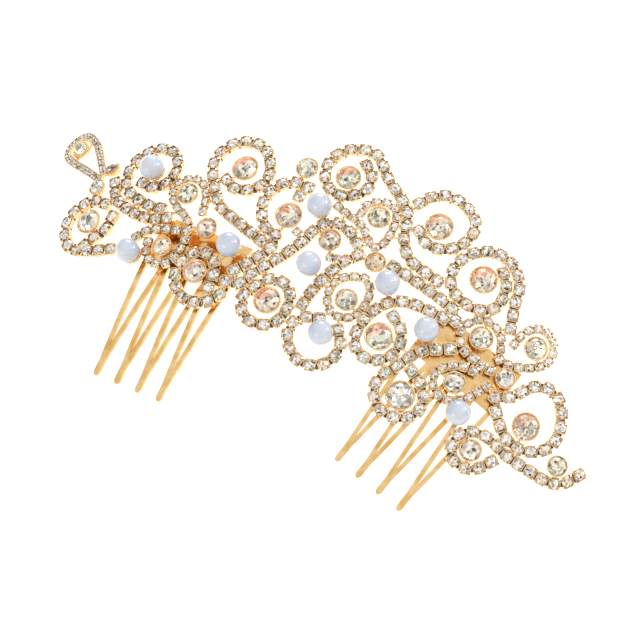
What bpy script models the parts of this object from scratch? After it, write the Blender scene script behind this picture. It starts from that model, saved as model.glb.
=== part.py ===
"""Decorative hair comb: a filigree of stone-set chains bent over the head, nine pearls, twenty-eight
crystals in gold cups, and two small gold combs underneath.

The filigree is laid out flat in millimetres (u along the ornament, v across it, w above the head side)
and bend() then lays it over the head, as the maker bends the flat work at the end.
"""
import math

import bmesh
import bpy
import numpy as np
from mathutils import Matrix, Vector

MM = 0.001

# bend over the head, and how the bent piece lies on a table
BEND_ALONG = 150.0
BEND_ACROSS = 200.0
REST_ROLL = math.radians(15.6)
REST_PITCH = math.radians(2.1)
REST_PLACE = (5.62, -0.17, 20.48)

# cup chain: pitch between stones, width and height of a cup, width and height of the link between cups
LARGE = {"pitch": 3.4, "cup": (2.5, 2.0), "link": (1.5, 1.0)}
SMALL = {"pitch": 2.5, "cup": (1.9, 1.7), "link": (1.2, 0.9)}
PAVE = {"pitch": 3.6, "cup": (2.0, 1.8), "link": (1.9, 1.7)}
CUP_END = 0.42          # how far the last cup runs past its stone, in pitches
SECTION_TAPER = 0.9     # top width of a cup over its foot width
PATH_STEPS = 16         # spline steps between two layout points

# pearls
PEARL_RADIUS = 3.0
PEARL_HEIGHT = 4.2      # centre above the head side
PEARL_FOOT = 1.5
PEARL_CUP = (2.3, 2.1)  # radius and height of the gold cup's lip
PEARL_BANDS = 6
TURN_STEPS = 12

# crystal settings, as fractions of the stone radius and heights in millimetres
SETTING_FOOT = 0.66
SETTING_LIP = (1.7, 2.4)
TABLE = (0.58, 3.3)

# combs
TOOTH_PITCH = 6.1
TEETH = 4
PLATE_TALL = 12.0
COMB_THICK = 0.8
COMB_DROP = 1.4         # top of the plate below the head side of the filigree
LEG_WIDE = 1.1
NOTCH_Y = -1.5
FORK_Y = -23.5
TIP_Y = -31.0
TIP_HALF = 0.78
TOOTH_BOW = 3.2         # how far a tip curves toward the head
BOW_POWER = 1.7

# chains: size, whether the ends meet, and the line of stone centres
STRANDS = {
    "strand_left_scroll": (LARGE, False, [
        (-62.9, -5.4), (-67.4, -6.2), (-70.6, -11.0), (-69.4, -16.0), (-65.0, -18.9), (-59.6, -17.7),
        (-53.6, -14.7)]),
    "strand_pave_tear": (PAVE, False, [
        (-69.9, 1.6), (-75.4, 5.8), (-78.5, 7.6), (-82.0, 8.4), (-84.6, 7.2), (-85.8, 4.6), (-85.3, 2.4),
        (-83.3, 1.0)]),
    "strand_pearl_loop_left": (LARGE, False, [
        (-47.8, -0.1), (-51.2, -0.8), (-57.4, -0.4), (-61.2, 1.6), (-63.2, 7.0), (-60.2, 12.4), (-55.3, 13.9),
        (-51.1, 11.2), (-50.8, 6.4), (-53.8, 3.5), (-57.0, 3.4)]),
    "strand_lower_row_left": (LARGE, False, [
        (-64.5, 0.5), (-62.3, -1.9), (-59.4, -3.5), (-53.5, -4.2), (-48.5, -3.5), (-44.5, -1.3)]),
    "strand_vine_left": (SMALL, False, [
        (-37.3, 4.2), (-39.2, 8.0), (-42.4, 10.3), (-45.7, 10.0), (-48.0, 7.2), (-47.2, 4.2), (-44.3, 2.2),
        (-40.6, 1.0), (-37.9, -1.0), (-36.7, -4.6), (-36.8, -8.6), (-38.4, -11.7), (-41.6, -12.6),
        (-44.4, -11.0), (-45.5, -8.7)]),
    "strand_ring_left": (LARGE, False, [
        (-24.2, -11.3), (-25.0, -8.0), (-27.0, -5.0), (-30.4, -4.4), (-33.3, -6.9), (-34.1, -10.8),
        (-32.3, -14.4), (-28.0, -16.3), (-23.2, -14.8), (-20.7, -11.2)]),
    "strand_long_loop_left": (LARGE, False, [
        (-37.2, 13.8), (-34.0, 12.9), (-30.4, 14.4), (-28.4, 17.6), (-29.2, 21.4), (-33.2, 25.0), (-38.0, 25.4),
        (-42.0, 22.8), (-43.5, 18.0), (-41.4, 13.6), (-36.3, 8.9), (-33.4, 7.0), (-26.9, 5.9), (-19.8, 4.8)]),
    "strand_upper_loop_mid": (LARGE, False, [
        (-21.1, -4.6), (-17.9, 1.4), (-16.7, 5.0), (-17.8, 8.0), (-21.4, 8.5), (-25.0, 12.6), (-25.4, 17.4),
        (-22.6, 21.2), (-18.1, 22.1)]),
    "strand_column_mid": (LARGE, False, [
        (-21.3, -7.8), (-18.1, -6.6), (-16.9, -3.1), (-13.8, 2.9), (-11.3, 9.3), (-10.1, 14.4), (-8.0, 17.6),
        (-3.9, 18.0), (0.2, 16.3)]),
    "strand_spine": (LARGE, False, [
        (-9.8, 34.4), (-7.0, 32.6), (-6.0, 28.8), (-8.7, 25.2), (-12.5, 24.2), (-16.2, 26.3), (-18.0, 31.0),
        (-15.6, 35.9), (-9.6, 38.1), (-3.2, 34.2), (2.7, 31.4), (5.8, 29.2), (7.5, 25.9), (9.0, 22.9),
        (12.6, 19.8), (17.8, 19.2), (21.0, 19.1)]),
    "strand_small_loop_top": (SMALL, False, [
        (-9.2, 21.8), (-5.9, 21.3), (-3.0, 21.0), (-0.8, 20.3), (1.4, 18.9), (3.4, 17.4), (5.1, 18.9),
        (5.4, 21.6), (4.8, 25.2), (3.4, 28.0), (0.8, 28.9), (-1.9, 27.8), (-3.6, 25.6), (-3.5, 23.3)]),
    "strand_pearl_row_mid": (LARGE, False, [
        (-2.1, -3.0), (-2.2, -0.5), (-1.9, 2.5), (-1.3, 5.8), (-0.4, 9.2), (0.6, 11.8), (2.2, 14.0)]),
    "strand_ring_mid": (SMALL, True, [
        (4.3, 9.1), (1.9, 7.0), (1.1, 4.0), (2.6, 0.3), (5.9, -1.1), (9.2, 0.6), (10.2, 4.2), (9.4, 8.0),
        (6.9, 10.1)]),
    "strand_double_row": (LARGE, False, [
        (10.5, 16.2), (14.4, 16.1), (20.2, 16.0), (26.4, 15.6), (29.4, 14.9), (29.3, 12.6), (26.2, 12.3),
        (19.6, 11.2), (16.2, 9.7), (13.8, 7.1), (12.2, 2.6), (12.5, -3.0), (15.4, -5.6), (19.1, -5.2),
        (21.8, -2.5), (22.2, 1.4), (20.2, 4.6), (17.3, 6.0)]),
    "strand_right_loop": (LARGE, False, [
        (6.6, 33.0), (8.0, 35.8), (11.8, 38.7), (17.0, 38.5), (20.9, 35.8), (21.2, 31.0), (18.4, 26.8),
        (14.1, 25.3), (10.5, 27.0)]),
    "strand_far_loop": (LARGE, False, [
        (41.5, 19.3), (39.2, 24.7), (37.6, 29.3), (33.6, 32.7), (28.0, 32.7), (23.8, 28.9), (22.5, 24.0),
        (24.2, 20.0), (28.4, 18.3), (32.6, 18.7), (35.5, 20.9), (36.0, 24.4), (34.9, 27.6), (32.7, 29.7)]),
    "strand_small_rings_right": (SMALL, False, [
        (40.6, 8.2), (35.4, 8.8), (32.7, 11.3), (32.5, 14.4), (34.4, 17.0), (37.6, 17.8), (40.6, 16.4),
        (42.3, 13.8), (43.6, 11.8), (47.1, 12.5), (51.2, 15.0), (53.2, 18.2), (52.4, 21.8), (49.4, 23.8),
        (46.4, 22.9), (44.7, 20.2), (44.2, 16.8)]),
    "strand_lower_right_loop": (LARGE, True, [
        (47.4, 3.7), (50.6, 6.2), (53.4, 11.0), (57.6, 12.9), (61.8, 10.8), (64.6, 5.4), (64.0, 0.8),
        (59.8, -2.6), (54.6, -2.6), (50.4, 0.2)]),
    "strand_tail": (LARGE, False, [
        (74.2, 0.7), (72.2, -2.9), (68.8, -5.1), (62.9, -5.7), (56.8, -5.9), (52.2, -5.1), (48.2, -5.5),
        (45.5, -7.8), (45.1, -10.8), (47.0, -13.6), (50.2, -14.0), (53.2, -12.2), (55.0, -9.0)]),
    "strand_ring_right": (SMALL, False, [
        (44.3, 4.9), (42.8, 1.4), (40.6, -1.8), (37.4, -3.4), (34.0, -2.4), (32.7, 0.6), (34.0, 3.3),
        (36.8, 5.3), (39.8, 6.0)]),
    "strand_lower_loop": (LARGE, False, [
        (27.9, -2.3), (31.3, -3.6), (33.9, -6.4), (34.2, -10.0), (31.6, -13.1), (27.2, -13.8), (23.4, -11.4),
        (22.7, -7.6), (24.6, -2.6), (27.4, 3.1), (32.4, 7.2)]),
    "strand_pearl_loop_low": (LARGE, False, [
        (8.3, -3.7), (10.9, -6.6), (11.0, -10.4), (8.6, -13.6), (4.6, -14.7), (0.6, -13.0), (-1.7, -9.4),
        (-0.6, -5.9), (3.2, -3.7)]),
    "strand_low_loop": (LARGE, True, [
        (-14.3, -5.2), (-15.5, -9.0), (-13.0, -12.3), (-9.2, -12.7), (-5.6, -10.7), (-4.6, -6.6), (-5.8, -2.9),
        (-9.0, -1.1), (-12.6, -2.2)]),
}

# side branches, soldered to the chain named first
BRANCHES = {
    "strand_pave_tear": (PAVE, [(-81.5, 0.6), (-75.3, 0.1), (-70.2, -0.5)]),
    "strand_left_scroll": (LARGE, [(-58.8, -7.4), (-58.5, -11.2), (-60.4, -14.6), (-61.4, -17.0)]),
    "strand_vine_left": (SMALL, [(-49.2, -9.0), (-47.4, -6.4), (-44.0, -4.3), (-37.9, -2.0)]),
    "strand_pearl_row_mid": (SMALL, [(-3.4, 10.0), (0.2, 11.2)]),
}
# two small settings soldered to the point of the pave tear: u, v, radius, stretch
TEAR_SETTINGS = [(-68.0, -2.7, 2.2, 1.0), (-67.4, 3.0, 1.25, 1.9)]
TEAR_TURN = math.radians(60)

PEARLS = [
    (-55.2, 7.2), (-46.8, -13.4), (-24.8, -0.4), (-12.0, 18.7), (-5.7, 5.4), (12.1, 11.4), (5.9, -6.8),
    (25.5, 7.2), (42.0, -4.6),
]

# crystals: u, v, radius
CRYSTALS = [
    (-81.2, 4.4, 2.0), (-63.8, -11.2, 3.0), (-43.4, 6.1, 2.6), (-40.7, -8.2, 2.4), (-33.3, 0.9, 2.5),
    (-29.3, -9.5, 2.8), (-34.6, 18.4, 3.1), (-21.3, 26.0, 2.6), (-11.3, 29.1, 2.9), (-17.6, 13.4, 3.1),
    (-5.6, 13.4, 2.6), (-9.7, -6.7, 3.1), (6.0, 3.3, 2.6), (17.2, 0.1, 3.2), (0.8, 24.4, 2.6),
    (6.5, 14.6, 2.4), (14.0, 30.4, 3.2), (29.8, 25.4, 3.2), (37.0, 13.3, 2.7), (48.9, 18.8, 2.7),
    (46.8, 8.7, 2.3), (37.6, 1.0, 2.5), (29.0, -8.6, 3.3), (57.0, 2.2, 3.2), (68.4, -0.9, 2.4),
    (49.4, -9.8, 2.5),
]

# combs: middle of the root line, turn about the head normal, and tilt that lifts the tips
COMBS = {
    "comb_left": (-32.8, -10.7, math.radians(7.3), math.radians(7)),
    "comb_right": (36.7, 1.2, math.radians(-4.4), math.radians(0)),
}


def bend(u, v, w):
    """A layout point (mm) on the bent piece, as it lies on the table (m)."""
    turn_v = v / BEND_ACROSS
    turn_u = u / BEND_ALONG
    height = (BEND_ACROSS + w) * math.cos(turn_v) - BEND_ACROSS
    reach = BEND_ALONG + height
    point = Vector((reach * math.sin(turn_u), (BEND_ACROSS + w) * math.sin(turn_v),
                    reach * math.cos(turn_u) - BEND_ALONG))
    return (rest_turn() @ point + Vector(REST_PLACE)) * MM


def rest_turn():
    return Matrix.Rotation(REST_ROLL, 3, "X") @ Matrix.Rotation(REST_PITCH, 3, "Y")


def seat(u, v, w, turn=0.0):
    """Placement of a part standing on the bent piece at (u, v, w), turned about its own axis."""
    along = (bend(u + 0.5, v, w) - bend(u - 0.5, v, w)).normalized()
    across = (bend(u, v + 0.5, w) - bend(u, v - 0.5, w)).normalized()
    up = along.cross(across).normalized()
    axes = Matrix((along, up.cross(along), up)).transposed().to_4x4()
    return Matrix.Translation(bend(u, v, w)) @ axes @ Matrix.Rotation(turn, 4, "Z")


def new_collection(name, wire=False):
    collection = bpy.data.collections.new(name)
    bpy.context.scene.collection.children.link(collection)
    collection.hide_render = wire
    return collection


def material(name, color, metallic, roughness):
    result = bpy.data.materials.new(name)
    result.use_nodes = True
    shader = result.node_tree.nodes["Principled BSDF"]
    shader.inputs["Base Color"].default_value = (*color, 1.0)
    shader.inputs["Metallic"].default_value = metallic
    shader.inputs["Roughness"].default_value = roughness
    result.diffuse_color = (*color, 1.0)
    return result


def gold(name):
    return material(f"{name}_gold", (0.93, 0.70, 0.36), 1.0, 0.22)


def crystal(name):
    return material(f"{name}_crystal", (0.88, 0.90, 0.92), 0.0, 0.05)


def pearl(name):
    return material(f"{name}_pearl", (0.88, 0.89, 0.93), 0.0, 0.25)


def add_object(name, mesh, collection, surface):
    part = bpy.data.objects.new(name, mesh)
    part.data.materials.append(surface)
    collection.objects.link(part)
    return part


def spline(points, closed):
    """Dense points of a smooth line through the layout points."""
    knots = np.array(points)
    if closed:
        knots = np.vstack([knots[-1], knots, knots[0], knots[1]])
    else:
        knots = np.vstack([2 * knots[0] - knots[1], knots, 2 * knots[-1] - knots[-2]])
    line = []
    for before, start, end, after in zip(knots, knots[1:], knots[2:], knots[3:]):
        for step in range(PATH_STEPS):
            t = step / PATH_STEPS
            line.append(0.5 * (2 * start + (end - before) * t
                               + (2 * before - 5 * start + 4 * end - after) * t ** 2
                               + (3 * start - before - 3 * end + after) * t ** 3))
    line.append(knots[-2])
    return np.array(line)


def along_line(line, distances):
    """Positions and directions at the given distances along a dense line, run on straight past its ends."""
    steps = np.linalg.norm(np.diff(line, axis=0), axis=1)
    travelled = np.concatenate([[0.0], np.cumsum(steps)])
    inside = np.clip(distances, 0.0, travelled[-1])
    near = np.stack([np.interp(inside, travelled, line[:, axis]) for axis in (0, 1)], axis=1)
    ahead = np.clip(inside + 0.2, 0.0, travelled[-1])
    behind = np.clip(inside - 0.2, 0.0, travelled[-1])
    heading = np.stack([np.interp(ahead, travelled, line[:, axis]) - np.interp(behind, travelled, line[:, axis])
                        for axis in (0, 1)], axis=1)
    heading /= np.linalg.norm(heading, axis=1, keepdims=True)
    return near + heading * (distances - inside)[:, None], heading


def chain_rings(size, points, closed):
    """Stations along a chain, each with the width and height there: wide at a cup, narrow at a link."""
    line = spline(points, closed)
    length = float(np.sum(np.linalg.norm(np.diff(line, axis=0), axis=1)))
    gaps = max(1, round(length / size["pitch"]))
    pitch = length / gaps
    distances = [index * pitch / 2 for index in range(2 * gaps + (0 if closed else 1))]
    shapes = [size["cup"] if index % 2 == 0 else size["link"] for index in range(len(distances))]
    if not closed:
        distances = [-CUP_END * pitch, *distances, length + CUP_END * pitch]
        shapes = [size["link"], *shapes, size["link"]]
    centres, headings = along_line(line, np.array(distances))
    return centres, headings, shapes


def chain_mesh(name, size, points, closed):
    """Closed band of cups and links, lofted along the chain."""
    centres, headings, shapes = chain_rings(size, points, closed)
    shell = bmesh.new()
    rings = []
    for centre, heading, (width, height) in zip(centres, headings, shapes):
        side = np.array([-heading[1], heading[0]]) * width / 2
        corners = [(-1.0, 0.0), (1.0, 0.0), (SECTION_TAPER, height), (-SECTION_TAPER, height)]
        rings.append([shell.verts.new(bend(*(centre + side * reach), rise)) for reach, rise in corners])
    pairs = list(zip(rings, rings[1:]))
    if closed:
        pairs.append((rings[-1], rings[0]))
    else:
        shell.faces.new(rings[0])
        shell.faces.new(rings[-1])
    for first, second in pairs:
        for corner in range(4):
            following = (corner + 1) % 4
            shell.faces.new((first[corner], first[following], second[following], second[corner]))
    bmesh.ops.recalc_face_normals(shell, faces=shell.faces)
    mesh = bpy.data.meshes.new(name)
    shell.to_mesh(mesh)
    shell.free()
    return mesh


def turned_part(name, profile, collection, surface, smooth):
    """Solid turned about its own Z axis from a (radius, height) profile in millimetres."""
    mesh = bpy.data.meshes.new(name)
    points = [(radius * MM, 0.0, height * MM) for radius, height in profile]
    edges = [(index, index + 1) for index in range(len(points) - 1)]
    mesh.from_pydata(points, edges, [])
    part = add_object(name, mesh, collection, surface)
    turn = part.modifiers.new("Turn", "SCREW")
    turn.steps = TURN_STEPS
    turn.render_steps = TURN_STEPS
    turn.use_merge_vertices = True
    turn.merge_threshold = 0.00001
    turn.use_normal_calculate = True
    turn.use_smooth_shade = smooth
    return part


def setting_profile(radius):
    table_radius, table_height = TABLE
    lip_low, lip_high = SETTING_LIP
    return [(0.0, 0.0), (SETTING_FOOT * radius, 0.0), (radius, lip_low), (radius, lip_high),
            (table_radius * radius, table_height), (0.0, table_height)]


def pearl_profile():
    lip_radius, lip_height = PEARL_CUP
    low = math.asin((lip_height - PEARL_HEIGHT) / PEARL_RADIUS)
    profile = [(0.0, 0.0), (PEARL_FOOT, 0.0), (lip_radius, lip_height)]
    for band in range(1, PEARL_BANDS + 1):
        angle = low + (math.pi / 2 - low) * band / PEARL_BANDS
        profile.append((PEARL_RADIUS * math.cos(angle) if band < PEARL_BANDS else 0.0,
                        PEARL_HEIGHT + PEARL_RADIUS * math.sin(angle)))
    return profile


def weld_on(part, addition, cutters):
    """Solder an addition to a part, as one solid."""
    addition.display_type = "WIRE"
    addition.hide_render = True
    if addition.name not in cutters.objects:
        cutters.objects.link(addition)
    joint = part.modifiers.new("Solder", "BOOLEAN")
    joint.operation = "UNION"
    joint.solver = "EXACT"
    joint.object = addition


def build_strands(parts, cutters):
    for name, (size, closed, points) in STRANDS.items():
        strand = add_object(name, chain_mesh(name, size, points, closed), parts, gold(name))
        if name in BRANCHES:
            branch_size, branch_points = BRANCHES[name]
            mesh = chain_mesh(f"{name}_branch", branch_size, branch_points, False)
            weld_on(strand, add_object(f"{name}_branch", mesh, cutters, gold(f"{name}_branch")), cutters)
    tear = parts.objects["strand_pave_tear"]
    for index, (u, v, radius, stretch) in enumerate(TEAR_SETTINGS):
        name = f"tear_setting_{index + 1}"
        setting = turned_part(name, setting_profile(radius), cutters, gold(name), False)
        setting.matrix_world = seat(u, v, 0.0, TEAR_TURN) @ Matrix.Diagonal((stretch, 1.0, 1.0, 1.0))
        weld_on(tear, setting, cutters)


def build_stones(parts):
    for index, (u, v) in enumerate(PEARLS):
        name = f"pearl_{index + 1}"
        stone = turned_part(name, pearl_profile(), parts, pearl(name), True)
        stone.matrix_world = seat(u, v, 0.0)
    for index, (u, v, radius) in enumerate(CRYSTALS):
        name = f"crystal_{index + 1:02d}"
        stone = turned_part(name, setting_profile(radius), parts, crystal(name), False)
        stone.matrix_world = seat(u, v, 0.0)


def bow(y):
    """How far the comb has curved toward the head at a distance y past the roots."""
    return -TOOTH_BOW * (max(0.0, -y) / -TIP_Y) ** BOW_POWER


def comb_sheet():
    """Middle sheet of a comb: plate, paired legs that meet at a fork, and rounded tips."""
    sheet = bmesh.new()
    half_pitch = TOOTH_PITCH / 2
    slot_top = half_pitch - LEG_WIDE
    rows = [0.0, NOTCH_Y, -6.0, -10.0, -14.0, -18.0, FORK_Y]
    tip_rows = [(FORK_Y - 3.0, 1.0), (TIP_Y + 3.5, 1.0), (TIP_Y + 0.8, 1.0), (TIP_Y, 0.45)]
    known = {}

    def vert(x, y):
        key = (round(x, 3), round(y, 3))
        if key not in known:
            known[key] = sheet.verts.new((x * MM, y * MM, bow(y) * MM))
        return known[key]

    def edges_at(y):
        """Half widths of the slot inside a tooth and of the tooth itself."""
        below_notch = max(0.0, (y - NOTCH_Y) / (FORK_Y - NOTCH_Y))
        outer = half_pitch + (LEG_WIDE - half_pitch) * below_notch
        return slot_top * (1 - y / FORK_Y), outer

    plate_line = []
    for tooth in range(TEETH):
        middle = (tooth - (TEETH - 1) / 2) * TOOTH_PITCH
        plate_line += [middle - half_pitch, middle - slot_top, middle + slot_top]
        for side in (-1, 1):
            for upper, lower in zip(rows, rows[1:]):
                (inner_a, outer_a), (inner_b, outer_b) = edges_at(upper), edges_at(lower)
                sheet.faces.new((vert(middle + side * inner_a, upper), vert(middle + side * outer_a, upper),
                                 vert(middle + side * outer_b, lower), vert(middle + side * inner_b, lower)))
            stations = [(FORK_Y, LEG_WIDE), *((y, TIP_HALF * share) for y, share in tip_rows)]
            for (upper, half_a), (lower, half_b) in zip(stations, stations[1:]):
                sheet.faces.new((vert(middle, upper), vert(middle + side * half_a, upper),
                                 vert(middle + side * half_b, lower), vert(middle, lower)))
    plate_line.append(TEETH * half_pitch)
    for left, right in zip(plate_line, plate_line[1:]):
        sheet.faces.new((vert(left, 0.0), vert(right, 0.0), vert(right, PLATE_TALL), vert(left, PLATE_TALL)))
    bmesh.ops.recalc_face_normals(sheet, faces=sheet.faces)
    mesh = bpy.data.meshes.new("comb_sheet")
    sheet.to_mesh(mesh)
    sheet.free()
    return mesh


def build_combs(parts):
    for name, (u, v, turn, lift) in COMBS.items():
        comb = add_object(name, comb_sheet(), parts, gold(name))
        placed = seat(u, v, -COMB_DROP - COMB_THICK / 2, turn)
        comb.matrix_world = placed @ Matrix.Rotation(-lift, 4, "X")
        thickness = comb.modifiers.new("Thickness", "SOLIDIFY")
        thickness.thickness = COMB_THICK * MM
        thickness.offset = 0.0


def main():
    for item in list(bpy.data.objects):
        bpy.data.objects.remove(item, do_unlink=True)
    parts = new_collection("decorative_hair_comb")
    cutters = new_collection("cutters", wire=True)
    build_strands(parts, cutters)
    build_stones(parts)
    build_combs(parts)


main()
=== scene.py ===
"""Looks of the decorative hair comb: cup chains with their rhinestones, foil-backed crystals in beaded
settings, pearls in gold cups, a pave band, and the solder between them.

Layout coordinates are millimetres on the flat work: u along it, v across it and w above the head side.
bend() lays them over the head, in the same place as the CAD solids.
"""
import math
import random

import bpy
import numpy as np
from mathutils import Matrix, Vector


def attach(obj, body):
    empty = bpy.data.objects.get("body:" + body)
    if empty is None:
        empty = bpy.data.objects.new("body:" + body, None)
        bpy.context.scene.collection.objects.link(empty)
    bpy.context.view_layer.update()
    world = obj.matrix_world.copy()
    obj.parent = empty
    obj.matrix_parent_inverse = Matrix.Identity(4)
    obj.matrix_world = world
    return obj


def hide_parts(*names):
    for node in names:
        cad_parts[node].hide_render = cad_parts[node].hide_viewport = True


MM = 0.001

# bend over the head and place on the table, as in the CAD
BEND_ALONG = 150.0
BEND_ACROSS = 200.0
REST_ROLL = math.radians(15.6)
REST_PITCH = math.radians(2.1)
REST_PLACE = Vector((5.62, -0.17, 20.48))

# camera: where it looks from, in the frame of the flat work
VIEW_TILT_X = math.radians(15)
VIEW_TILT_Y = math.radians(10)
VIEW_TURN = math.radians(32)
VIEW_DISTANCE = 650.0
VIEW_AIM = (0.59, -4.82)        # from the layout's middle, along the picture's right and up
LENS = 155.15
SENSOR = 36.0

# cup chain: pitch, width across the chain, cup height, stone radius
LARGE = {"pitch": 3.4, "width": 3.0, "height": 1.5, "stone": 1.36, "gap": 0.36, "crown": 0.5}
SMALL = {"pitch": 2.5, "width": 2.3, "height": 1.25, "stone": 1.04, "gap": 0.28, "crown": 0.4}
CUP_TAPER = 0.84                # width of a cup's foot over its rim
CORNER_CUT = 0.3                # how far a cup's corners are cut back, of its half width
RIM = 0.16                      # thickness of a cup's wall
PRONG = 0.34                    # width of a prong
PRONG_FOOT = 0.8                # place of a prong's foot and of its tip, of the way out to the corner
PRONG_TIP = 0.56
LINK_WIDTH = 0.55               # of the cup's width
GAP_WIDTH = 0.7                 # block painted dark as the shade in the gap between two cups, of the cup's width
PATH_STEPS = 16
HEADING_REACH = 0.2             # how far ahead and behind a chain's heading is measured
STONE_SIDES = 8
GIRDLE_DROP = 0.1               # a chain stone's girdle below its cup's rim
GAP_OVERLAP = 0.16              # how far a gap's block runs into each cup
GAP_FOOT = 0.25
GAP_TALL = 0.8                  # top of the block of painted shade in the gap, of the cup's height
LINK_OVERLAP = 0.3              # how much further a link runs than a gap's block
LINK_FOOT = 0.1
LINK_TOP = 0.6

# pave band round the drop at the left end
PAVE_WIDTH = 2.1
PAVE_HEIGHT = 1.5
PAVE_STONE = 0.47
PAVE_PITCH = 1.04
PAVE_ROW = 0.44                 # distance of each row of stones from the middle of the band
PAVE_RAIL = 0.26
PAVE_TAPER = 0.9                # foot of the band over its top
PAVE_FLOOR = 0.75               # floor between the rails, of the band's height
PAVE_GIRDLE = 0.88              # girdle of a stone, of the band's height
PAVE_CROWN = 0.3
PAVE_SIDES = 6
PAVE_BEAD = 0.17
PAVE_BEAD_HEIGHT = 1.3
RAIL_BEAD = 0.16
DROP_HALF = 0.2                 # half width of the drop-shaped frame, and its foot and top
DROP_FOOT = 1.3
DROP_TOP = 1.7
DROP_BEAD_PITCH = 2.2           # in bead radii

# pearls
PEARL_RADIUS = 3.0
PEARL_HEIGHT = 4.2
PEARL_SEGMENTS = 40
PEARL_CUP = [(1.2, 0.0), (1.6, 0.1), (2.2, 1.0), (2.62, 2.3), (2.42, 2.35), (1.9, 1.2)]
PEARL_BEADS = 20
PEARL_BEAD_REACH = 2.52
PEARL_BEAD_HEIGHT = 2.3

# crystals
STONE_SHARE = 0.88              # radius of the stone over that of its setting
GIRDLE_HEIGHT = 1.95
FACET_SPREAD = 0.75             # how much darker the darkest facet is painted than the stone, as sparkle
TABLE_SHARE = 0.56
SETTING_SPREAD = 1.08           # radius of a finished setting over that of its CAD solid
BEAD = 0.22                     # radius of a bead on the rim
SETTING_SEGMENTS = 32
# wall of a setting: share of its radius, and height
SETTING_PROFILE = [(0.6, 0.0), (0.7, 0.15), (0.93, 1.1), (1.0, 1.7), (1.0, 2.0),
                   (STONE_SHARE, 2.1), (STONE_SHARE, 1.5)]
CROWN = 1.15                    # height of a crystal's crown, and of the two on the tear
TEAR_CROWN = 1.0
SMOOTH_RIMS = (12, 13)          # crystals whose rim has no beads, counted from 0
RIM_BEAD_PITCH = 2.1            # in bead radii
RIM_BEAD_INSET = 0.75           # in bead radii, from the setting's edge
RIM_BEAD_HEIGHT = 2.05
BEAD_ANGLES = (-0.6, 0.0, 0.6, 1.1)
BEAD_SEGMENTS = 8

SOLDER_RADIUS = 0.36
SOLDER_GAP = 0.9                # two settings less than this apart are soldered together
SOLDER_HEIGHT = 0.45
FOOT_SHARE = 0.7                # foot of a setting, of its radius
PEARL_FOOT = 1.6
POST_RADIUS = 0.5               # solder posts that carry the ornament on the comb plates
POST_TOP = 0.5
POST_STEP = 3                   # one setting in three over a plate gets a post

# combs, as in the CAD: middle of the root line, turn about the head normal, and tilt that lifts the tips
COMBS = [(-32.8, -10.7, math.radians(7.3), math.radians(7)), (36.7, 1.2, math.radians(-4.4), 0.0)]
COMB_DROP = 1.4
PLATE_HALF = 12.2
PLATE_TALL = 12.0
PLATE_EDGE = 1.0                # posts stay this far inside a plate's edge

FLOOR_GLOW = 0.5                # the floor is lit from below, as a light table, so that it stays white

# softboxes: place, size and power
SOFTBOXES = [
    ("left", (-0.50, 0.80, 0.38), (0.5, 0.35), 3.0),
    ("right", (0.60, 0.72, 0.42), (0.4, 0.35), 2.4),
    ("front", (-0.15, -0.85, 0.35), (0.6, 0.25), 1.6),
    ("catchlight", (0.53, 0.33, 0.77), (0.12, 0.12), 0.9),
]
# the studio is darker near the horizon, which gives metal and stones their edges
SKY_STRENGTH = 1.0
SKY = [(0.02, (0.10, 0.09, 0.08, 1.0)), (0.35, (0.6, 0.59, 0.58, 1.0)), (0.75, (1.0, 0.99, 0.98, 1.0))]

GOLD_LIGHT = (0.96, 0.73, 0.44, 1.0)
GOLD_DEEP = (0.84, 0.54, 0.25, 1.0)
COMB_LIGHT = (0.86, 0.61, 0.30, 1.0)
COMB_DEEP = (0.72, 0.42, 0.13, 1.0)
# warm light painted onto crystal facets as a reflection
CORAL_REFLECTION = (0.93, 0.42, 0.30)
CLEAR = (1.0, 1.0, 1.0)
GREENISH = (0.96, 0.98, 0.90)
PEACH = (1.0, 0.92, 0.83)
PINK = (1.0, 0.91, 0.87)
AMBER = (1.0, 0.88, 0.68)
SMOKY = (0.62, 0.5, 0.44)
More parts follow.
